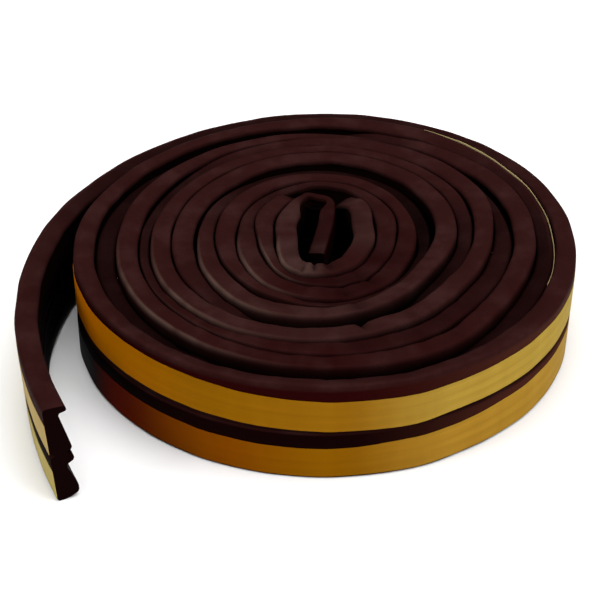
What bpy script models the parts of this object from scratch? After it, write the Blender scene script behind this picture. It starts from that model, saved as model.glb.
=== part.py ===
# EPDM rubber seal strip, wound into a loose roll with its free end lying beside it.
# Two E-profile rows joined edge to edge make the strip, and a paper liner backs each row.
# The roll lies on the floor with its bore upright, and the back of the strip faces outward.

import math

import bmesh
import bpy
from mathutils import Vector

# Driving dimensions, in metres and degrees
turn_count = 11               # turns from the bore to the outside
turn_pitch = 0.00352          # back of one turn to the back of the next
row_width = 0.0090            # one E-profile row
strip_depth = 0.0034          # back to rib tip, as pressed by the winding
bore_gap = 0.0029             # air on either side of the tongue that stands in the bore
back_thickness = 0.0013       # solid back of the E-profile
outer_rib_width = 0.0022
middle_rib_width = 0.0018
middle_rib_shortfall = 0.0007
web_width = 0.0006            # tear web between the two rows
web_thickness = 0.0010
web_setback = 0.0008          # how far the web lies in from the back
edge_chamfer = 0.0004         # softened edges of the rubber
turn_groove_depth = 0.0007    # parting between two turns on the ends of the roll
turn_top_tilt = 0.0010        # the bend pulls the rib edge of a turn this much below its back
slip_ramp = 25                # degrees in which a slipped stretch goes down and comes back up
bore_stretch = 0.0078         # the bore is pressed flat: longer this way and that along Y
bore_offset = 0.0040          # and its middle lies this far towards +Y
tongue_length = 0.0235        # inner end of the strip, standing in the bore
tongue_slip = 0.0030          # how low its top stands
tail_leave_angle = 36         # where the outer end leaves the round, from +X towards +Y
tail_rise_angle = 45          # it has climbed on top of the next turn this much further on
tail_free_angle = 126         # and swings free of the roll here
tail_let_in = 0.0003          # how far its back starts inside the roll
tail_nesting = 0.0005         # how far its rib tips press into the turn that it lies on
tail_free_length = 0.0959
tail_bend_radius = 0.0541     # where it swings free
tail_end_bend_radius = 0.0963
tail_slip = 0.0013            # it has slipped down behind the roll
tail_slipped_length = 0.1340  # and is level again this far along
liner_width = 0.0058          # paper on each row
liner_thickness = 0.0002
liner_gap = 0.0003            # clearance between the paper and the rubber
liner_edge_inset = 0.0005     # lower edge of the paper above the lower edge of its row
liner_tuck_angle = 180        # where the paper goes in under the tail

# Stretches where the top of the wound strip has slipped down: where each starts and ends, in
# degrees wound inward, clockwise from +X on the outermost turn, and how far the top is down
slipped_stretches = (
    (320, 650, 0.0017),
    (980, 1110, 0.0013),
    (1240, 1320, 0.0012),
    (1790, 1930, 0.0030),
    (2370, 2580, 0.0034),
)

# How finely the round shapes are drawn
coil_segments = 40
tail_segments = 13
tongue_segments = 4

# Worked out from the driving dimensions
strip_height = 2 * row_width + web_width
upper_row_height = row_width + web_width
rib_groove_width = (row_width - 2 * outer_rib_width - middle_rib_width) / 2
innermost_tip = strip_depth / 2 + bore_gap
coil_radius = innermost_tip + strip_depth + (turn_count - 1) * turn_pitch

rubber_colour = (0.045, 0.028, 0.022)
paper_colour = (0.55, 0.36, 0.13)


def clearScene():
    for item in list(bpy.data.objects):
        bpy.data.objects.remove(item, do_unlink=True)


def newCollection(name):
    collection = bpy.data.collections.new(name)
    bpy.context.scene.collection.children.link(collection)
    return collection


def newMaterial(name, colour, roughness):
    material = bpy.data.materials.new(name)
    material.use_nodes = True
    shader = material.node_tree.nodes["Principled BSDF"]
    shader.inputs["Base Color"].default_value = (*colour, 1)
    shader.inputs["Roughness"].default_value = roughness
    shader.inputs["Metallic"].default_value = 0
    return material


# Section of the strip, as points of depth from the back and height above the floor

def ribSide(base):
    """Rib side of one row, from its lower edge up."""
    top = base + row_width
    first_root = base + outer_rib_width
    middle_base = first_root + rib_groove_width
    middle_top = middle_base + middle_rib_width
    last_root = top - outer_rib_width
    middle_tip = strip_depth - middle_rib_shortfall
    return [
        (strip_depth - edge_chamfer, base), (strip_depth, base + edge_chamfer),
        (strip_depth, first_root), (back_thickness, first_root),
        (back_thickness, middle_base), (middle_tip, middle_base),
        (middle_tip, middle_top), (back_thickness, middle_top),
        (back_thickness, last_root), (strip_depth, last_root),
        (strip_depth, top - edge_chamfer), (strip_depth - edge_chamfer, top),
    ]


def backSide(base):
    """Back of one row, from its upper edge down."""
    top = base + row_width
    return [
        (edge_chamfer, top), (0, top - edge_chamfer),
        (0, base + edge_chamfer), (edge_chamfer, base),
    ]


def wholeRibSide():
    web_inside = web_setback + web_thickness
    web = [(web_inside, row_width), (web_inside, upper_row_height)]
    return ribSide(0) + web + ribSide(upper_row_height)


def wholeBackSide():
    web = [(web_setback, upper_row_height), (web_setback, row_width)]
    return backSide(upper_row_height) + web + backSide(0)


def linerSection(row_base):
    base = row_base + liner_edge_inset
    outside = -liner_gap - liner_thickness
    return [
        (-liner_gap, base), (-liner_gap, base + liner_width),
        (outside, base + liner_width), (outside, base),
    ]


# Routes seen from above. Each station is a point on the back of the strip, and how far
# the top of the strip has slipped down there.

def direction(degrees):
    angle = math.radians(degrees)
    return Vector((math.cos(angle), math.sin(angle)))


def tailRoute():
    """Lies on the roll, then swings free and straightens steadily towards the cut end."""
    points = tailOnRoll()
    points += freeTail(points[-1])
    stations = [(points[0], 0)]
    distance = 0
    for before, point in zip(points, points[1:]):
        distance += (point - before).length
        stations.append((point, tailSlip(distance)))
    return stations


def tailOnRoll():
    """Climbs a quarter wave from the round of the roll to the back of one more turn."""
    start = coil_radius - tail_let_in
    rise = strip_depth - tail_nesting + tail_let_in
    sweep = tail_free_angle - tail_leave_angle
    steps = round(sweep * coil_segments / 360)
    points = []
    for index in range(steps + 1):
        turned = sweep * index / steps
        climbed = math.sin(math.pi / 2 * min(turned / tail_rise_angle, 1))
        points.append((start + rise * climbed) * direction(tail_leave_angle + turned))
    return points


def freeTail(point):
    """Its bend grows evenly gentler, from one bend radius to the other."""
    start_bend = 1 / tail_bend_radius
    bend_change = 1 / tail_end_bend_radius - start_bend
    step = tail_free_length / tail_segments
    points = []
    for index in range(tail_segments):
        middle = (index + 0.5) * step
        turned = start_bend * middle + bend_change * middle ** 2 / (2 * tail_free_length)
        point = point + step * direction(tail_free_angle + 90 + math.degrees(turned))
        points.append(point)
    return points


def tailSlip(distance):
    """A half wave: level at the roll, lowest behind it and level again further along."""
    share = min(distance / tail_slipped_length, 1)
    return tail_slip * math.sin(math.pi * share)


def tongueRoute():
    """Straight along the middle of the bore, into the back of the turn that it grows out of."""
    middle_of_back = innermost_tip + strip_depth - back_thickness / 2
    root = pressedFlat(Vector((0, middle_of_back)))
    step = Vector((0, tongue_length / tongue_segments))
    start = root + Vector((strip_depth / 2, -tongue_length))
    return [(start + index * step, tongue_slip) for index in range(tongue_segments + 1)]


def linerRoute():
    """Once round the roll from under the tail, then out along the tail."""
    sweep = 360 + tail_leave_angle - liner_tuck_angle
    steps = round(sweep * coil_segments / 360)
    around = [
        (coil_radius * direction(liner_tuck_angle + sweep * index / steps), 0)
        for index in range(steps)
    ]
    along = [
        (point * max(1, coil_radius / point.length), slip) for point, slip in tailRoute()
    ]
    return around + along


def pressedFlat(place):
    """A round turn, pressed into an oval that is longest at the bore and round at the outside."""
    radius = place.xy.length
    inwardness = 1 - radius / coil_radius
    pressed = place.copy()
    pressed.y = place.y * (1 + bore_stretch * inwardness / radius) + bore_offset * inwardness
    return pressed


# Shapes

def carryAlong(name, section, stations, collection):
    """Closed solid of a section carried along a route, its upper row squashed by the slip."""
    shape = bmesh.new()
    rings = []
    for index, (point, slip) in enumerate(stations):
        before = stations[max(index - 1, 0)][0]
        after = stations[min(index + 1, len(stations) - 1)][0]
        heading = (after - before).normalized()
        inward = Vector((-heading.y, heading.x))
        places = [(point + inward * depth, slipped(height, slip)) for depth, height in section]
        rings.append([shape.verts.new((place.x, place.y, height)) for place, height in places])
    for ring, following in zip(rings, rings[1:]):
        for index in range(len(section)):
            previous = index - 1
            shape.faces.new((ring[previous], ring[index], following[index], following[previous]))
    shape.faces.new(rings[0])
    shape.faces.new(rings[-1])
    bmesh.ops.recalc_face_normals(shape, faces=shape.faces)
    mesh = bpy.data.meshes.new(name)
    shape.to_mesh(mesh)
    shape.free()
    piece = bpy.data.objects.new(name, mesh)
    collection.objects.link(piece)
    return piece


def slipped(height, slip):
    """Height of a point of the section where the top of the strip has slipped down."""
    share = max(0, height - upper_row_height) / row_width
    return height - slip * share


def stretchSlip(wound):
    """How far the top is down after this many degrees wound inward."""
    slips = [0]
    for first, last, drop in slipped_stretches:
        ramp = min(wound - first, last - wound) / slip_ramp
        slips.append(drop * max(0, min(1, ramp)))
    return max(slips)


def turnSlip(place):
    """Slip at a place on the round turns, the deeper of two where it lies between turns."""
    turned = -math.degrees(math.atan2(place.y, place.x))
    inward = coil_radius - place.xy.length
    reaches = (inward - edge_chamfer / 2, inward + edge_chamfer / 2)
    turns = [math.floor(reach / turn_pitch) for reach in reaches]
    return max(stretchSlip(360 * turn + turned) for turn in turns)


def partingRadii(turn):
    """Rib tip of a turn, and the back of the next turn in."""
    tip = coil_radius - (turn - 1) * turn_pitch - strip_depth
    return tip, coil_radius - turn * turn_pitch


def topParting(turn):
    """Groove on top between this turn and the next one in, from the inside out."""
    tip, next_back = partingRadii(turn)
    tip_height = strip_height - turn_top_tilt
    valley = tip_height - turn_groove_depth
    return [
        (next_back - edge_chamfer, strip_height), ((tip + next_back) / 2, valley),
        (tip + edge_chamfer, tip_height),
    ]


def bottomParting(turn):
    """The same groove underneath, from the outside in, where every turn stands on the floor."""
    tip, next_back = partingRadii(turn)
    return [
        (tip + edge_chamfer, 0), ((tip + next_back) / 2, turn_groove_depth),
        (next_back - edge_chamfer, 0),
    ]


def coilProfile():
    """Half section of the wound turns: down the outside, in below, up the bore, out on top."""
    innermost_back = innermost_tip + strip_depth
    points = [(coil_radius - depth, height) for depth, height in wholeBackSide()]
    for turn in range(1, turn_count):
        points += bottomParting(turn)
    points += [(innermost_back - depth, height) for depth, height in wholeRibSide()]
    for turn in range(turn_count - 1, 0, -1):
        points += topParting(turn)
    return points


def turnedProfile(name, points, collection):
    """Closed half section turned about Z, still with its live modifier."""
    count = len(points)
    corners = [(radius, 0, height) for radius, height in points]
    sides = [(index, (index + 1) % count) for index in range(count)]
    mesh = bpy.data.meshes.new(name)
    mesh.from_pydata(corners, sides, [])
    turned = bpy.data.objects.new(name, mesh)
    collection.objects.link(turned)
    screw = turned.modifiers.new("Turn", "SCREW")
    screw.axis = "Z"
    screw.angle = 2 * math.pi
    screw.steps = coil_segments
    screw.render_steps = coil_segments
    screw.use_merge_vertices = True
    screw.merge_threshold = 0.00001
    screw.use_smooth_shade = True
    return turned


def woundTurns(collection):
    """The turned roll, slipped down in stretches and pressed flat about its bore."""
    turned = turnedProfile("turned_profile", coilProfile(), collection)
    graph = bpy.context.evaluated_depsgraph_get()
    mesh = bpy.data.meshes.new_from_object(turned.evaluated_get(graph))
    bpy.data.objects.remove(turned, do_unlink=True)
    mesh.name = "seal_strip"
    for vertex in mesh.vertices:
        vertex.co.z = slipped(vertex.co.z, turnSlip(vertex.co))
        vertex.co = pressedFlat(vertex.co)
    roll = bpy.data.objects.new("seal_strip", mesh)
    collection.objects.link(roll)
    return roll


def joinTo(target, other):
    union = target.modifiers.new("Join " + other.name, "BOOLEAN")
    union.operation = "UNION"
    union.solver = "EXACT"
    union.object = other
    other.hide_render = True
    other.display_type = "WIRE"


def standOnOrigin(parent):
    """Moves the parent so that the bottom centre of everything under it is at the origin."""
    graph = bpy.context.evaluated_depsgraph_get()
    corners = [
        child.matrix_world @ Vector(corner)
        for child in parent.children
        for corner in child.evaluated_get(graph).bound_box
    ]
    for axis in (0, 1):
        values = [corner[axis] for corner in corners]
        parent.location[axis] = -(min(values) + max(values)) / 2


def build():
    clearScene()
    parts = newCollection("epdm_rubber_seal_strip")
    cutters = newCollection("joined_pieces")
    rubber = newMaterial("rubber", rubber_colour, 0.75)
    paper = newMaterial("liner_paper", paper_colour, 0.55)

    roll = woundTurns(parts)
    roll.data.materials.append(rubber)
    strip_section = wholeRibSide() + wholeBackSide()
    tail = carryAlong("tail", strip_section, tailRoute(), cutters)
    tongue = carryAlong("tongue", strip_section, tongueRoute(), cutters)
    joinTo(roll, tail)
    joinTo(roll, tongue)

    lower = carryAlong("lower_liner", linerSection(0), linerRoute(), parts)
    upper = carryAlong("upper_liner", linerSection(upper_row_height), linerRoute(), parts)
    lower.data.materials.append(paper)
    upper.data.materials.append(paper)

    roll_axis = bpy.data.objects.new("roll_axis", None)
    parts.objects.link(roll_axis)
    for piece in (roll, lower, upper, tail, tongue):
        piece.parent = roll_axis
    bpy.context.view_layer.update()
    standOnOrigin(roll_axis)


build()
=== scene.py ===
import math

import bpy
import numpy as np
from mathutils import Matrix, Vector


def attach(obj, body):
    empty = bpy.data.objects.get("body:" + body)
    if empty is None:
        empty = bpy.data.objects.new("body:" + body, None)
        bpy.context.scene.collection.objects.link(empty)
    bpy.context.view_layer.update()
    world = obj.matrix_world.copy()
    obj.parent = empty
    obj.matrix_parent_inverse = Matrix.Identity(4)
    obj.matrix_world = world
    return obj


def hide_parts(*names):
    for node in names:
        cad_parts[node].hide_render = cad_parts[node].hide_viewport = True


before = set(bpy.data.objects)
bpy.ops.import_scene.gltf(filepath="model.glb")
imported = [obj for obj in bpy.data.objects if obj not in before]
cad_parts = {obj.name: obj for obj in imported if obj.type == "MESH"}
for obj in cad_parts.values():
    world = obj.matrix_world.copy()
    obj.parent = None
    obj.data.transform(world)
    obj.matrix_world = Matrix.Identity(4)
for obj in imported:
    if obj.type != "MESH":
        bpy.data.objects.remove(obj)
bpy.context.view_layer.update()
print("frame loaded")

mm = 0.001  # the sizes below are in millimetres, unless they say metres
sharpAngle = 48  # degrees between two faces, from which their edge is drawn sharp

# Shared helpers


def throughKnots(at, knots):
    # Catmull-Rom curve over evenly spaced knots: it meets each knot, and its slope there
    # is half the step from the knot before to the knot after
    knots = np.asarray(knots, float)
    first = np.clip(np.floor(at).astype(int), 1, len(knots) - 3)
    t = at - first
    before, here, after, beyond = (knots[first + i] for i in (-1, 0, 1, 2))
    return (
        here * (1 + 2 * t) * (1 - t) ** 2
        + (after - before) / 2 * t * (1 - t) ** 2
        + after * t**2 * (3 - 2 * t)
        + (beyond - here) / 2 * t**2 * (t - 1)
    )


def eased(at, pairs):
    # value between listed (place, value) pairs, with a smoothstep from each pair to the next
    places, values = np.array(sorted(pairs), float).T
    i = np.clip(np.searchsorted(places, at) - 1, 0, len(places) - 2)
    t = np.clip((at - places[i]) / (places[i + 1] - places[i]), 0, 1)
    return values[i] + (values[i + 1] - values[i]) * t * t * (3 - 2 * t)


def wander(at, amount, seed, shortest, longest):
    # irregular line, mostly within the amount either way: the mean of nine sines whose lengths
    # run evenly in logarithm from the shortest to the longest, each with its own phase
    rng = np.random.default_rng(seed)
    lengths = np.geomspace(shortest, longest, 9) * rng.uniform(0.9, 1.1, 9)
    phases = rng.uniform(0, 2 * np.pi, 9)
    return np.sin(2 * np.pi * np.multiply.outer(at, 1 / lengths) + phases).mean(-1) * 2 * amount


def roundedOutline(corners, wide=0.5):
    # closed outline through corners (across, up, reach): a corner with a wide reach becomes a
    # parabola from the point that far before it to the point that far after it, in three
    # steps, and a corner with a smaller one becomes a flat between those two points
    points = np.array([c[:2] for c in corners], float)
    reach = np.array([c[2] for c in corners], float)
    towards = np.roll(points, 1, 0) - points
    away = np.roll(points, -1, 0) - points
    towards /= np.linalg.norm(towards, axis=1)[:, None]
    away /= np.linalg.norm(away, axis=1)[:, None]
    made = []
    for point, r, a, b in zip(points, reach, towards, away):
        t = np.linspace(0, 1, 4 if r >= wide else 2)[:, None]
        if r == 0:
            made.append(point[None])
        else:
            made.append((1 - t) ** 2 * (point + r * a) + 2 * t * (1 - t) * point + t**2 * (point + r * b))
    return np.concatenate(made)


def carriedSolid(name, rings, along, around):
    # one mesh from rings of points (ring, point, xyz) in metres: quads between neighbouring
    # rings, a flat face on the first and the last ring, and a UV of (along, around) in metres,
    # which stays (0, 0) on the two flat faces
    n, m = rings.shape[:2]
    i, j = np.meshgrid(np.arange(n - 1), np.arange(m), indexing="ij")
    k = (j + 1) % m
    quads = np.stack([i * m + j, i * m + k, (i + 1) * m + k, (i + 1) * m + j], -1).reshape(-1, 4)
    loops = np.concatenate([quads.ravel(), np.arange(m)[::-1], (n - 1) * m + np.arange(m)])
    sizes = np.append(np.full(len(quads), 4), (m, m))
    mesh = bpy.data.meshes.new(name)
    mesh.vertices.add(n * m)
    mesh.vertices.foreach_set("co", rings.reshape(-1).astype(np.float32))
    mesh.loops.add(len(loops))
    mesh.loops.foreach_set("vertex_index", loops)
    mesh.polygons.add(len(sizes))
    mesh.polygons.foreach_set("loop_start", np.concatenate([[0], np.cumsum(sizes)[:-1]]))
    mesh.polygons.foreach_set("loop_total", sizes)
    mesh.update(calc_edges=True)
    uv = np.zeros((len(loops), 2))
    aroundClosed = np.append(around, around[-1] + around[1] - around[0])
    uv[: quads.size, 0] = along[np.stack([i, i, i + 1, i + 1], -1).reshape(-1)]
    uv[: quads.size, 1] = aroundClosed[np.stack([j, j + 1, j + 1, j], -1).reshape(-1)]
    mesh.uv_layers.new(name="strip").data.foreach_set("uv", uv.ravel())
    mesh.validate()
    mesh.shade_smooth()
    mesh.set_sharp_from_angle(angle=math.radians(sharpAngle))
    piece = bpy.data.objects.new(name, mesh)
    bpy.context.scene.collection.objects.link(piece)
    return piece


# The line that the back of the strip follows

# A winding angle is how far the strip has turned, in degrees: 0 at the right of the outermost
# turn, above 0 towards the loose end, and 360 less with each turn further in.

roll = {
    "axis": (4.2045, 1.6254),  # where the roll's axis stands on the floor
    "step": 30,  # degrees between the places below
    # radius of the back of the strip on its way to the loose end, at winding angles of 150 to 30
    "lead": (46.3, 46.1, 46.2, 45.5, 44.4),
    # the same from 0 inward, one turn a row, each row clockwise from the right
    "turns": (
        43.6, 43.8, 43.2, 43.25, 43.5, 43.8, 43.7, 42.4, 41.8, 42.4, 42.4, 41.3,
        40.0, 39.6, 40.0, 40.2, 40.3, 40.3, 39.8, 39.2, 39.0, 38.9, 38.1, 38.2,
        36.9, 36.1, 38.2, 38.4, 37.9, 37.1, 36.3, 36.4, 36.5, 36.5, 35.0, 33.7,
        32.7, 32.0, 33.4, 34.7, 34.1, 33.2, 32.3, 32.7, 34.0, 34.5, 34.4, 32.8,
        29.4, 28.0, 29.1, 30.8, 31.8, 31.2, 30.4, 30.4, 31.2, 31.5, 30.2, 28.5,
        25.8, 24.0, 25.2, 26.7, 27.8, 27.3, 26.7, 27.2, 28.4, 29.2, 27.6, 25.3,
        23.0, 21.2, 22.5, 24.4, 25.2, 23.6, 22.3, 22.9, 24.5, 25.7, 23.8, 20.6,
        18.4, 17.6, 19.1, 20.8, 20.5, 19.4, 19.2, 20.2, 21.3, 21.4, 19.8, 17.1,
        16.1, 16.3, 18.2, 19.1, 18.6, 16.4, 15.4, 16.3, 18.2, 18.8, 16.8, 14.4,
        12.4, 12.5, 14.0, 14.8, 14.2, 12.0, 11.8, 13.9, 15.9, 17.4, 14.2, 10.0,
        8.8, 8.9, 10.5, 11.7, 12.2, 9.6, 8.6, 9.9, 12.8, 17.0, 18.0,
    ),
    "turnStep": 0.4,  # degrees between two points of its line
    "tailFrom": 126,  # winding angle at which the loose end leaves the roll
    "tailLength": 95.9,
    "tailStep": 0.25,  # between two points of its line
    "tailRadii": (54.1, 96.3),  # its curve where it leaves, and at the cut end
    "tailCircle": 46,  # the winding angle goes on there as on a circle of this radius
    "foldFrom": -3855,  # the innermost turn folds over here, into the tongue in the bore
    "foldTurn": 9,  # degrees of winding angle for each mm of the fold and the tongue
    # points that the back of the strip goes through there, from the roll's axis
    "fold": (
        (-3.8, 15.2), (-2.6, 15.6), (-1.0, 15.6), (0.6, 15.2), (1.7, 14.2), (2.1, 12.6),
        (2.0, 10.0), (1.7, 7.2), (1.1, 4.2), (0.5, 1.2), (-0.1, -1.6),
    ),
    # how far the top of the strip has slipped down, by winding angle
    "slips": (
        (250, 0.0), (190, 0.2), (150, 1.1), (120, 1.3), (90, 1.15), (60, 0.85), (25, 0.2), (0, 0.0),
        (-298, 0.0), (-330, 0.7), (-360, 1.5), (-395, 1.6), (-430, 2.4), (-480, 2.5), (-515, 1.7),
        (-545, 1.5), (-590, 2.2), (-632, 2.1), (-648, 0.6), (-662, 0.0), (-970, 0.0), (-1000, 0.4),
        (-1025, 1.3), (-1050, 1.3), (-1090, 1.0), (-1135, 0.6), (-1170, 0.1), (-1210, 0.2), (-1260, 0.9),
        (-1292, 1.3), (-1325, 0.3), (-1350, 0.0), (-1740, 0.0), (-1770, 0.3), (-1800, 1.2), (-1832, 1.9),
        (-1862, 2.8), (-1905, 3.2), (-1928, 0.9), (-1950, 0.3), (-1980, 0.0), (-2340, 0.1), (-2368, 0.6),
        (-2400, 1.6), (-2430, 2.0), (-2460, 2.1), (-2490, 2.4), (-2520, 2.2), (-2552, 1.4), (-2578, 0.8),
        (-2610, 0.6), (-2640, 0.0), (-2740, 0.0), (-2820, 0.1), (-2960, 0.3), (-3000, 0.1), (-3090, 0.3),
        (-3115, 0.8), (-3150, 0.3), (-3200, 0.2), (-3340, 0.6), (-3372, 0.1), (-3478, 0.0), (-3492, 2.0),
        (-3500, 3.2), (-3520, 3.2), (-3530, 1.0), (-3542, 0.0), (-3640, 0.0), (-3680, 0.2), (-3705, 0.0),
        (-3790, 0.0), (-3840, 0.1), (-3862, 0.7), (-3890, 1.2), (-3960, 2.2), (-4100, 3.2),
    ),
    "tilt": 0.25,  # how much lower the inner edge of the top is than the outer
    # and how much more than that on the outermost turn, by winding angle
    "outerTilt": ((-9999, 0.0), (-175, 0.0), (-140, 0.45), (-60, 0.45), (-15, 0.0), (400, 0.0)),
    # between two rings of the strip, by winding angle: closer where it folds and creases
    "ringGaps": ((250, 1.6), (150, 1.35), (-3560, 1.35), (-3680, 0.4), (-4300, 0.4)),
}


def turnRadius(winding):
    # distance of the back from the axis, with the winding angle in degrees
    knots = roll["lead"] + roll["turns"]
    return throughKnots((150 - winding) / roll["step"], knots)


def tailLine():
    # the loose end: its heading turns by the integral of a curvature that changes evenly
    # from one over the first radius to one over the second
    s = np.arange(0, roll["tailLength"], roll["tailStep"])
    first, last = roll["tailRadii"]
    leaving = math.radians(roll["tailFrom"])
    heading = leaving + np.pi / 2 + s / first + (1 / last - 1 / first) * s**2 / (2 * roll["tailLength"])
    steps = np.stack([np.cos(heading), np.sin(heading)], -1) * roll["tailStep"]
    start = turnRadius(np.array([roll["tailFrom"]]))[0] * np.array([math.cos(leaving), math.sin(leaving)])
    return start + np.cumsum(steps, 0) - steps, roll["tailFrom"] + np.degrees(s / roll["tailCircle"])


def woundLine():
    # the turns: the angle runs down evenly, the radius comes from the places measured on each turn
    winding = np.arange(roll["tailFrom"] - 0.75 * roll["turnStep"], roll["foldFrom"], -roll["turnStep"])
    turned = np.radians(winding)
    return turnRadius(winding)[:, None] * np.stack([np.cos(turned), np.sin(turned)], -1), winding


def foldLine():
    # the fold at the far end of the bore and the tongue that comes back through it: a curve
    # through the listed points, with one more beyond each end to give the ends their slope
    knots = np.array(roll["fold"])
    knots = np.concatenate([[2 * knots[0] - knots[1]], knots, [2 * knots[-1] - knots[-2]]])
    at = np.arange(1.02, len(knots) - 2.001, 0.05)
    line = np.stack([throughKnots(at, knots[:, c]) for c in (0, 1)], -1)
    length = np.concatenate([[0], np.cumsum(np.linalg.norm(np.diff(line, axis=0), axis=1))])
    return line, roll["foldFrom"] - 4 - length * roll["foldTurn"]


def smoothed(values, width):
    # running mean with a raised-cosine weight, the ends held
    weight = np.hanning(width + 2)[1:-1]
    first = np.repeat(values[:1], width // 2, 0)
    last = np.repeat(values[-1:], width // 2, 0)
    padded = np.concatenate([first, values, last])
    return np.stack([np.convolve(column, weight / weight.sum(), "valid") for column in padded.T], -1)


def stripStations():
    # the whole line from the cut end to the tongue: laid out in even steps, smoothed, then
    # divided into rings whose count grows with each mm by one over the wanted gap
    tail, tailWinding = tailLine()
    wound, woundWinding = woundLine()
    fold, foldWinding = foldLine()
    line = np.concatenate([tail[::-1], wound, fold])
    winding = np.concatenate([tailWinding[::-1], woundWinding, foldWinding])
    length = np.concatenate([[0], np.cumsum(np.linalg.norm(np.diff(line, axis=0), axis=1))])
    step = 0.1
    even = np.arange(0, length[-1], step)
    line = np.stack([np.interp(even, length, line[:, c]) for c in (0, 1)], -1)
    line = smoothed(line, 15)
    winding = np.interp(even, length, winding)
    count = np.concatenate([[0], np.cumsum(step / eased(winding, roll["ringGaps"])[:-1])])
    rings = np.interp(np.arange(0, int(count[-1]) + 1) * count[-1] / int(count[-1]), count, even)
    line = np.stack([np.interp(rings, even, line[:, c]) for c in (0, 1)], -1)
    return line, np.interp(rings, even, winding), rings


line, winding, length = stripStations()
tangent = np.gradient(line, length, axis=0)
tangent /= np.linalg.norm(tangent, axis=1)[:, None]
inward = np.stack([tangent[:, 1], -tangent[:, 0]], -1)
print("line of the strip:", len(line), "rings,", round(length[-1]), "mm")

# The strip

strip = {
    "depth": 3.8,  # of a row that nothing presses
    "play": 0.25,  # left between a turn and the next
    "leastDepth": 0.9,  # of a row pressed hardest
    "boreRoom": 9.0,  # room inward of the innermost turn
    "rowTop": 18.6,  # height of the double strip
    "upperRow": 9.6,  # height from which the upper row gives way
    # section: share of the depth, height, reach of the rounding
    "section": (
        (0.00, 0.0, 0.5), (0.00, 3.0, 0), (0.00, 6.0, 0), (0.00, 8.9, 0.3), (0.22, 9.1, 0.12),
        (0.22, 9.4, 0.12), (0.00, 9.6, 0.3), (0.00, 12.6, 0), (0.00, 15.6, 0), (0.00, 17.2, 0),
        (0.00, 18.6, 0.8), (0.30, 18.6, 0), (0.48, 18.6, 0), (0.66, 18.6, 0), (0.82, 18.6, 0),
        (1.00, 18.6, 0.6), (1.00, 17.6, 0.15), (0.62, 17.2, 0.3), (0.95, 10.9, 0.3), (0.99, 9.9, 0.3),
        (0.72, 9.3, 0.15), (0.97, 8.7, 0.25), (1.00, 7.6, 0.3), (0.60, 6.8, 0.4), (1.00, 2.4, 0.8),
        (0.97, 0.9, 0.5), (0.45, 0.0, 0.8),
    ),
    # how far the foot leans inward, by winding angle
    "lean": (
        (-9999, 0.0), (-75, 0.0), (-45, 0.45), (-28, 0.6), (-5, 0.3), (20, 0.0),
        (175, 0.0), (245, 1.1), (400, 1.1),
    ),
    # irregular waves along it: amount, seed, shortest and longest
    "topWave": (0.16, 3, 7, 60),
    "innerEdgeWave": (0.1, 4, 3, 14),
    "sidewaysWave": (0.1, 5, 9, 70),
    # share of the full depth round the fold, by winding angle past the place where the fold begins
    "foldThins": ((-9999, 1.0), (-85, 1.0), (-50, 0.0), (2, 0.0), (30, 1.0), (9999, 1.0)),
    "foldDepth": 1.1,  # of the row where it is folded double
    "tongueFrom": 40,  # degrees past the same place
    "tongueDepth": 2.9,
    # creases pressed into the top: winding angle, depth, half width, and where across (0 back, 1 ribs)
    "creases": (
        (-1518, 0.8, 0.7, 0.9), (-2236, 0.7, 1.2, 0.6), (-2598, 0.6, 1.5, 0.3), (-2958, 0.7, 1.0, 0.5),
        (-3318, 0.6, 1.2, 0.5), (-3684, 0.6, 0.8, 0.7), (-3700, 0.7, 0.5, 0.7), (-3711, 0.5, 0.5, 0.35),
        (-3304, 0.6, 0.8, 0.3), (-2940, 0.5, 0.8, 0.8), (-1160, 0.25, 1.0, 0.5), (-1500, 0.2, 1.4, 0.4),
    ),
    "creaseReach": 0.45,  # across, as a share of the depth
    "gapShade": 3.0,  # the painted shade in a gap is at its darkest this far below the top
    # share of that shade, by winding angle
    "openness": ((-9999, 0.3), (-3900, 0.3), (-3850, 1.0), (400, 1.0)),
    "highlightAt": (-142, 26),  # a painted highlight makes outer edges pale round this direction, spread to each side
    # how pale each turn's painted edge highlight is there, by winding angle
    "highlightTurns": (
        (-9999, 1.0), (-3100, 1.0), (-3080, 0.9), (-2960, 0.9), (-2800, 0.1), (-2500, 0.1), (-2400, 1.0),
        (-2200, 1.0), (-2100, 0.0), (-1800, 0.0), (-1700, 0.8), (-1440, 0.8), (-1300, 0.15), (-1080, 0.15),
        (-1000, 0.9), (-740, 0.9), (-650, 0.0), (400, 0.0),
    ),
    # tone of the top by winding angle: below 0 darker and redder, above 0 paler
    "tone": (
        (-9999, 0.2), (-4040, 0.2), (-3990, -0.5), (-3900, -0.7), (-3862, -0.2), (-3840, 0.3), (-3780, 0.6),
        (-3735, 0.7), (-3712, 1.0), (-3702, 1.0), (-3682, -0.4), (-3660, -0.3), (-3630, 0.2), (-3600, 0.5),
        (-3560, 0.3), (-3500, 0.0), (-3372, 0.2), (-3345, -0.8), (-3290, -0.7), (-3240, -0.3), (-3180, 0.0),
        (-3015, 0.1), (-2988, -0.8), (-2940, -0.7), (-2890, -0.5), (-2840, -0.3), (-2780, 0.0), (-2650, 0.0),
        (-2605, -0.5), (-2560, -0.1), (-2330, 0.1), (-2290, 0.2), (-2250, 0.3), (-2200, 0.15), (-2130, 0.0),
        (-1600, 0.0), (-1560, 0.15), (-1530, 0.3), (-1500, 0.1), (-1440, 0.0), (-1255, 0.0), (-1215, -0.3),
        (-1170, -0.7), (-1120, -0.4), (-1080, -0.1), (-930, 0.0), (-870, -0.2), (-810, -0.75), (-770, -0.4),
        (-720, 0.0), (-560, 0.0), (-500, -0.3), (-440, -0.6), (-390, -0.3), (-330, 0.0), (400, 0.0),
    ),
}


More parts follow.
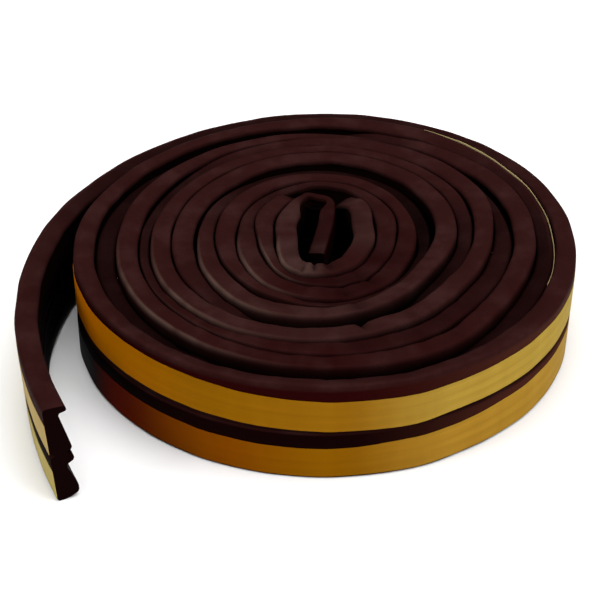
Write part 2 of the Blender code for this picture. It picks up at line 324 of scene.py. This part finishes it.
def rowDepth():
    # the strip fills the room to the next turn inward, up to its free depth, and thins at the fold
    here = np.hypot(*line.T)
    inner = np.maximum(winding - 360, roll["foldFrom"])
    room = np.where(winding - 360 > roll["foldFrom"], here - turnRadius(inner), strip["boreRoom"])
    slant = np.abs((inward * line).sum(1)) / here
    pressed = np.minimum(strip["depth"], room * slant - strip["play"])
    wanted = np.where(winding > roll["tailFrom"], strip["depth"], pressed)
    wanted = np.where(winding < roll["foldFrom"] - strip["tongueFrom"], strip["tongueDepth"], wanted)
    share = eased(winding - roll["foldFrom"], strip["foldThins"])
    depth = strip["foldDepth"] + (wanted - strip["foldDepth"]) * share
    return smoothed(np.maximum(depth, strip["leastDepth"])[:, None], 9)[:, 0]


def leanAt(z):
    # how far inward the section leans: nothing at the top, and evenly more down to the foot
    return np.multiply(eased(winding, strip["lean"])[:, None], 1 - np.asarray(z) / strip["rowTop"])


def topDrop(share):
    # how far the top lies below its full height: the slip, the tilt times the share of the
    # depth, two irregular waves, and bell-shaped creases along and across
    slip = eased(winding, roll["slips"])
    tilt = roll["tilt"] + eased(winding, roll["outerTilt"])
    drop = slip[:, None] + tilt[:, None] * share
    drop = drop + wander(length, *strip["topWave"])[:, None] * (0.4 + 0.6 * share)
    drop = drop + wander(length, *strip["innerEdgeWave"])[:, None] * share
    for place, deep, half, across in strip["creases"]:
        at = length[np.argmin(np.abs(winding - place))]
        along = np.exp(-(((length - at) / half) ** 2))[:, None]
        drop = drop + deep * along * np.exp(-(((share - across) / strip["creaseReach"]) ** 2))
    return np.maximum(drop, 0)


def stood(kept, out, z):
    # rings in metres: the kept places of the line, moved inward by out and raised by z
    flat = line[kept, None] + inward[kept, None] * out[..., None]
    return np.concatenate([flat + np.array(roll["axis"]), z[..., None]], -1) * mm


def markStrip(made, share, z):
    # four values at each point, for the shader
    top = strip["rowTop"]
    # painted shade in the gaps between turns, by how far a place lies in a gap, 0 open to 1 deep; the
    # outermost back is open
    sheltered = np.where(share > 0.25, 1.0, np.clip((-350 - winding) / 20, 0, 1)[:, None])
    sheltered = sheltered * eased(winding, strip["openness"])[:, None]
    paintedGapShade = np.clip((top - 0.2 - z) / strip["gapShade"], 0, 1) ** 0.7 * sheltered
    # the bare back of the outermost turn: none at 0.7 below the top, full from 1.3 below it
    outerBack = (share < 0.03) * np.clip((top - 0.7 - z) / 0.6, 0, 1) * (1 - sheltered)
    # painted highlight: a narrow pale line on the outer shoulder, bell-shaped round the listed direction
    facing = np.degrees(np.arctan2(line[:, 1], line[:, 0]))
    towards, spread = strip["highlightAt"]
    pale = np.exp(-(((facing - towards) / spread) ** 2)) * eased(winding, strip["highlightTurns"])
    shoulder = np.clip(1 - np.abs(share - 0.06) / 0.09, 0, 1) * (z > top - 1.0)
    paintedHighlight = np.clip(pale[:, None] * shoulder * (0.85 + wander(length, 0.25, 8, 2, 12)[:, None]), 0, 1)
    tone = eased(winding, strip["tone"])[:, None] * (0.8 + wander(length, 0.4, 9, 3, 30)[:, None]) + 0 * share
    for name, values in (("paintedGapShade", paintedGapShade), ("outer_back", outerBack), ("paintedHighlight", paintedHighlight), ("tone", tone)):
        made.data.attributes.new(name, "FLOAT", "POINT").data.foreach_set("value", values.ravel())


def makeStrip():
    # each ring is the section stood on the line: inward by its share of the depth, up by its
    # height, with the upper row let down in step with its height
    outline = roundedOutline([(a * strip["depth"], z, r) for a, z, r in strip["section"]])
    share = outline[:, 0] / strip["depth"]
    height = outline[:, 1]
    upper = np.clip((height - strip["upperRow"]) / (strip["rowTop"] - strip["upperRow"]), 0, 1)
    z = height - upper * topDrop(share)
    out = rowDepth()[:, None] * share + wander(length, *strip["sidewaysWave"])[:, None]
    around = np.concatenate([[0], np.cumsum(np.linalg.norm(np.diff(outline, axis=0), axis=1))])
    made = carriedSolid("foam_strip", stood(slice(None), out + leanAt(z), z), length * mm, around * mm)
    markStrip(made, share, z)
    return made


foamStrip = makeStrip()
print("foam strip:", len(foamStrip.data.polygons), "faces")

# The papers

liner = {
    "rows": {"lower_paper": (0.45, 6.3), "upper_paper": (9.75, 15.55)},  # lowest and highest edge
    # how far the lower and the upper edge wander up from there, by winding angle
    "edges": {
        "lower_paper": (
            ((-9999, 0.0), (400, 0.0)),
            (
                (-9999, 0.0), (-130, 0.0), (-96, -0.2), (-86, -0.2), (-73, 0.3), (-61, 0.4), (-46, 1.0),
                (-34, 1.3), (-20, 1.3), (10, 0.8), (40, 0.0), (400, 0.0),
            ),
        ),
        "upper_paper": (
            (
                (-9999, 0.0), (-215, 0.0), (-190, 0.5), (-143, 0.5), (-119, 0.4), (-107, 0.15), (-96, 0.0),
                (-86, -0.2), (-73, -0.4), (-61, 0.1), (-46, 0.2), (-34, 0.4), (-20, 0.4), (10, 0.2),
                (40, 0.0), (400, 0.0),
            ),
            (
                (-9999, 0.0), (-215, 0.0), (-190, 1.0), (-143, 1.1), (-119, 0.9), (-107, 0.4), (-96, 0.1),
                (-86, -0.2), (-73, -0.3), (-61, -0.1), (-46, 0.3), (-34, 0.7), (-20, 0.7), (10, 0.3),
                (40, 0.0), (400, 0.0),
            ),
        ),
    },
    "edgeWave": (0.05, 11, 4, 40),  # amount, seed, shortest and longest
    "offset": 0.02,  # from the back of the strip
    "thickness": 0.07,
    "endsAt": -3780,  # winding angle; no paper goes round the fold in the bore
    # the upper edge of the upper paper is lower on the turns inside the roll, by winding angle
    "sunk": ((-9999, 3.2), (-440, 3.2), (-385, 0.0), (400, 0.0)),
    # the upper paper of the second turn has worked up and stands proud, by winding angle
    "rise": (
        (-9999, 0.0), (-385, 0.0), (-378, 2.88), (-345, 2.92), (-325, 3.0), (-309, 3.0), (-306, 2.8),
        (-297, 2.72), (-290, 0.0), (400, 0.0),
    ),
}


def makeLiner(name, low, high, upper):
    # a thin band along the back, five points across its face and two on its reverse, with
    # its height going evenly from its lower edge to its upper one
    across = np.array([0, 0.25, 0.5, 0.75, 1, 1, 0])
    out = -np.array([1, 1, 1, 1, 1, 0, 0]) * liner["thickness"] - liner["offset"]
    kept = winding > liner["endsAt"]
    turned = winding[kept]
    run = length[kept]
    lift = upper * eased(turned, liner["rise"]) + wander(run, *liner["edgeWave"])
    sunk = upper * eased(turned, liner["sunk"])[:, None]
    lowest, highest = (eased(turned, pairs)[:, None] for pairs in liner["edges"][name])
    z = (low + lowest) * (1 - across) + (high + highest - sunk) * across + lift[:, None]
    givesWay = np.clip((z - strip["upperRow"]) / (strip["rowTop"] - strip["upperRow"]), 0, 1)
    z = z - givesWay * eased(turned, roll["slips"])[:, None]
    swell = wander(length, *strip["sidewaysWave"])[kept, None]
    lean = leanAt(low + (high - low) * across)[kept]
    rings = stood(kept, out + swell + lean, z)
    return carriedSolid(name, rings[:, ::-1], run * mm, (across * (high - low) * mm)[::-1])


liners = {name: makeLiner(name, *edges, name == "upper_paper") for name, edges in liner["rows"].items()}
print("liners:", *liners)

# Materials


class Socket:
    # a socket that can be added, multiplied and so on; each sum becomes a Math node
    def __init__(self, shader, socket):
        self.shader = shader
        self.socket = socket

    def math(self, kind, other):
        return self.shader.node("ShaderNodeMath", {"operation": kind}, {0: self, 1: other})

    def __add__(self, other):
        return self.math("ADD", other)

    def __radd__(self, other):
        return self.math("ADD", other)

    def __sub__(self, other):
        return self.math("SUBTRACT", other)

    def __rsub__(self, other):
        return (self * -1) + other

    def __mul__(self, other):
        return self.math("MULTIPLY", other)

    def __rmul__(self, other):
        return self.math("MULTIPLY", other)

    def __truediv__(self, other):
        return self.math("DIVIDE", other)

    def between(self, low, high):
        # 0 at low and 1 at high, either of which may be the larger, with a smoothstep in between
        return self.shader.node(
            "ShaderNodeMapRange", {"interpolation_type": "SMOOTHSTEP"}, {0: self, 1: low, 2: high}
        )

    def part(self, name):
        # another output of the same node
        return Socket(self.shader, self.socket.node.outputs[name])


class Shader:
    # a material's node tree, ending in one Principled shader
    def __init__(self, name):
        self.material = bpy.data.materials.new(name)
        self.material.use_nodes = True
        self.tree = self.material.node_tree
        self.surface = next(n for n in self.tree.nodes if n.type == "BSDF_PRINCIPLED")

    def node(self, kind, settings=None, inputs=None, output=0):
        made = self.tree.nodes.new(kind)
        for name, value in (settings or {}).items():
            setattr(made, name, value)
        for name, value in (inputs or {}).items():
            self.join(made.inputs[name], value)
        return Socket(self, made.outputs[output])

    def join(self, target, value):
        if isinstance(value, Socket):
            self.tree.links.new(value.socket, target)
        else:
            target.default_value = value

    def place(self):
        return self.node("ShaderNodeTexCoord", output="Object")

    def alongStrip(self):
        # the strip's UV: metres from the cut end, metres round the section
        return self.node("ShaderNodeUVMap", {"uv_map": "strip"})

    def mark(self, name):
        # a value stored at the mesh's points
        return self.node("ShaderNodeAttribute", {"attribute_name": name}, output="Fac")

    def stretched(self, place, scales):
        return self.node("ShaderNodeVectorMath", {"operation": "MULTIPLY"}, {0: place, 1: scales})

    def noise(self, place, scale, detail=3.0, roughness=0.55):
        inputs = {"Vector": place, "Scale": scale, "Detail": detail, "Roughness": roughness}
        return self.node("ShaderNodeTexNoise", {}, inputs)

    def bump(self, strength, distance, height):
        return self.node("ShaderNodeBump", {}, {"Strength": strength, "Distance": distance, "Height": height})

    def blend(self, factor, first, second):
        settings = {"data_type": "RGBA", "clamp_factor": True}
        return self.node("ShaderNodeMix", settings, {0: factor, 6: first, 7: second}, output=2)

    def set(self, **values):
        for name, value in values.items():
            self.join(self.surface.inputs[name.replace("_", " ")], value)


rubberLook = {
    "base": (0.018, 0.0044, 0.0040, 1),
    "pale": (0.032, 0.0118, 0.0110, 1),  # bloom on the skin
    "edge": (0.095, 0.058, 0.046, 1),  # painted highlight along the outer shoulders
    "paleTone": (0.070, 0.040, 0.034, 1),  # paler colour where the strip's tone is above 0
    "dull": (0.0115, 0.0010, 0.0011, 1),  # and below 0
    "back": (0.016, 0.0008, 0.0010, 1),  # bare back beside the papers
    "litBack": (0.040, 0.0105, 0.0060, 1),  # the same at the right, where light reaches it
    # painted shade, nearly black: in the gaps between turns, and on the bare back between the papers and at
    # the left
    "gap": (0.0012, 0.0004, 0.0004, 1),
    "cut": (0.004, 0.0006, 0.0006, 1),
    # metres from the cut end between which the back is unlit to lit, unlit to lit from the other
    # side, and open to shadowed
    "litFrom": (0.15, 0.19),
    "litTo": (0.262, 0.222),
    "shadowed": (0.285, 0.315),
    "shadeBetweenPapers": (0.0125, 0.0095),  # metres above the floor, over which painted shade darkens the back downward
    "scales": (160, 520, 2600),  # of the patches, the skin and the grain
    "bump": (0.35, 0.00012),  # strength, depth in metres
    "roughness": 0.55,
    "specular": 0.006,
}

paperLook = {
    # colour along the strip: metres from the cut end, upper paper, lower paper; the paper's gold with painted
    # light and shade in it, paler near the cut end and at the back, gold at the right, darker and more orange
    # from the front round to the left, and the lower paper nearly black in painted shadow from the left on
    "run": (
        (0.090, (0.42, 0.31, 0.115, 1), (0.43, 0.35, 0.11, 1)),
        (0.197, (0.34, 0.25, 0.045, 1), (0.34, 0.21, 0.03, 1)),
        (0.242, (0.37, 0.24, 0.035, 1), (0.35, 0.19, 0.02, 1)),
        (0.263, (0.265, 0.115, 0.004, 1), (0.23, 0.09, 0.001, 1)),
        (0.282, (0.245, 0.10, 0.0015, 1), (0.19, 0.048, 0.0, 1)),
        (0.303, (0.37, 0.12, 0.0, 1), (0.085, 0.003, 0.0, 1)),
        # painted shadow: from here on the lower paper is nearly black
        (0.314, (0.42, 0.12, 0.0, 1), (0.002, 0.0004, 0.0004, 1)),
        (0.420, (0.45, 0.36, 0.17, 1), (0.002, 0.0004, 0.0004, 1)),
    ),
    "streak": (0.10, 0.03, 0.0, 1),
    "streakShare": 0.35,  # how much of that colour the darkest streak takes
    "streaksEnd": (0.312, 0.29),  # metres from the cut end, over which they fade out
    "streakScale": (30, 900, 1),
    "waveScale": (180, 40, 1),
    "fibreScale": 3000,
    "bump": (0.25, 0.00025),  # strength, depth in metres
    "roughness": 0.42,
    "specular": 0.003,
}


def skinColour(look, patches, grain):
    # the foam's skin: patches of pale bloom, a tone along the strip, and a painted highlight on the outer
    # edges
    skin = look.blend(patches * 0.5 + grain * 0.22 - 0.08, rubberLook["base"], rubberLook["pale"])
    tone = look.mark("tone")
    skin = look.blend(tone * -0.85, skin, rubberLook["dull"])
    skin = look.blend(tone * (0.28 + patches * 0.25), skin, rubberLook["paleTone"])
    # painted highlight on the outer shoulders
    return look.blend(look.mark("paintedHighlight"), skin, rubberLook["edge"])


def backColour(look, run, place):
    # the bare back: painted shade between the papers and at the left, painted light at the right
    height = look.node("ShaderNodeSeparateXYZ", {}, {0: place}).part("Z")
    # painted shade: darker low on the back between the papers, and towards the left
    dark = height.between(*rubberLook["shadeBetweenPapers"]) * 0.8 + run.between(*rubberLook["shadowed"]) * 0.2
    lit = run.between(*rubberLook["litFrom"]) * run.between(*rubberLook["litTo"])
    return look.blend(lit, look.blend(dark, rubberLook["back"], rubberLook["gap"]), rubberLook["litBack"])


def rubberMaterial():
    # dark brown foam: skin and bare back, with painted shade black in the gaps, black at the cut, and a fine
    # grain
    look = Shader("rubber")
    place = look.place()
    patchScale, skinScale, grainScale = rubberLook["scales"]
    patches = look.noise(place, patchScale, 4).between(0.42, 0.72)
    grain = look.noise(place, grainScale, 2)
    skin = look.noise(place, skinScale, 3)
    run = look.node("ShaderNodeSeparateXYZ", {}, {0: look.alongStrip()})
    colour = skinColour(look, patches, grain)
    colour = look.blend(look.mark("outer_back"), colour, backColour(look, run, place))
    # painted shade in the gaps between turns
    colour = look.blend(look.mark("paintedGapShade"), colour, rubberLook["gap"])
    atCut = run.between(0.00004, 0.00001)  # the cut faces keep a UV of 0
    look.set(
        Base_Color=look.blend(atCut, colour, rubberLook["cut"]),
        Roughness=rubberLook["roughness"] + (skin - 0.5) * 0.2,
        Specular_IOR_Level=rubberLook["specular"],
        Normal=look.bump(*rubberLook["bump"], skin * 0.6 + grain * 0.4),
    )
    return look.material


def paperColour(look, run, which):
    # each listed place blends its colour over the one before
    stops = paperLook["run"]
    colour = look.node("ShaderNodeRGB")
    colour.socket.default_value = stops[0][which]
    for before, here in zip(stops, stops[1:]):
        colour = look.blend(run.between(before[0], here[0]), colour, here[which])
    return colour


def paperMaterial(name, which):
    # gold paper, with painted light and shade along it, streaks along it and faint wrinkles across
    look = Shader(name)
    at = look.alongStrip()
    run = look.node("ShaderNodeSeparateXYZ", {}, {0: at})
    streaks = look.noise(look.stretched(at, paperLook["streakScale"]), 1.0, 4)
    waves = look.noise(look.stretched(at, paperLook["waveScale"]), 1.0, 3)
    fibres = look.noise(look.place(), paperLook["fibreScale"], 2)
    shade = (streaks * 0.7 + waves * 0.5).between(0.95, 0.3) * paperLook["streakShare"]
    shade = shade * run.between(*paperLook["streaksEnd"])
    look.set(
        Base_Color=look.blend(shade, paperColour(look, run, which), paperLook["streak"]),
        Roughness=paperLook["roughness"] + (streaks - 0.5) * 0.12,
        Specular_IOR_Level=paperLook["specular"],
        Normal=look.bump(*paperLook["bump"], waves * 0.8 + streaks * 0.15 + fibres * 0.05),
    )
    return look.material


foamStrip.data.materials.append(rubberMaterial())
for which, name in ((1, "upper_paper"), (2, "lower_paper")):
    liners[name].data.materials.append(paperMaterial(name, which))
print("materials made")

# How the pieces stand for the frame's nodes

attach(foamStrip, "root")
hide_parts("seal_strip")
for name, node in (("lower_paper", "lower_liner"), ("upper_paper", "upper_liner")):
    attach(liners[name], "root")
    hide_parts(node)

# Studio

studio = {
    "floor": (0.88, 0.88, 0.88, 1),
    "sky": 0.30,
    # soft square lights: power, then place and side in metres
    "lights": {
        "overhead": (9.5, (0.10, -0.05, 0.85), 0.9),
        "right": (4.0, (0.75, -0.45, 0.35), 0.5),
        "left": (3.2, (-0.75, -0.25, 0.50), 0.35),
    },
}


def makeStudio():
    # a wide pale floor, an even dim sky and three soft lights
    bpy.ops.mesh.primitive_plane_add(size=6, location=(0, 0, 0))
    floor = bpy.context.object
    floor.name = "studio_floor"
    look = Shader("studio_floor")
    look.set(Base_Color=studio["floor"], Roughness=0.9, Specular_IOR_Level=0.1)
    floor.data.materials.append(look.material)
    world = bpy.data.worlds.new("studio_sky")
    world.use_nodes = True
    world.node_tree.nodes["Background"].inputs["Color"].default_value = (1, 1, 1, 1)
    world.node_tree.nodes["Background"].inputs["Strength"].default_value = studio["sky"]
    bpy.context.scene.world = world
    for name, (power, place, side) in studio["lights"].items():
        lamp = bpy.data.lights.new(name, "AREA")
        lamp.energy = power
        lamp.size = side
        holder = bpy.data.objects.new(name, lamp)
        holder.location = place
        holder.rotation_euler = Vector(place).to_track_quat("Z", "Y").to_euler()
        bpy.context.scene.collection.objects.link(holder)


makeStudio()

# Camera

camera = {
    "elevation": 34.9,  # degrees that it looks down
    "distance": 316.05,  # mm from the roll's axis
    "across": 4.34,  # the axis lies this far right of the view's middle
    "up": -3.83,  # and this far above it
    "lens": 104.94,
}


def makeCamera():
    # stands back from the axis along the view, shifted so that the roll sits as in the photograph
    data = bpy.data.cameras.new("camera")
    data.lens = camera["lens"]
    data.sensor_width = 36
    data.clip_start = 0.01
    holder = bpy.data.objects.new("camera", data)
    e = math.radians(camera["elevation"])
    forward = Vector((0, math.cos(e), -math.sin(e)))
    up = Vector((0, math.sin(e), math.cos(e)))
    right = Vector((1, 0, 0))
    axis = Vector((roll["axis"][0], roll["axis"][1], 0))
    place = (axis - forward * camera["distance"] - right * camera["across"] - up * camera["up"]) * mm
    holder.matrix_world = Matrix.Translation(place) @ (-forward).to_track_quat("Z", "Y").to_matrix().to_4x4()
    bpy.context.scene.collection.objects.link(holder)
    bpy.context.scene.camera = holder
    bpy.context.scene.view_settings.view_transform = "Standard"  # plain colours, as in a catalogue picture


makeCamera()
print("studio and camera set")
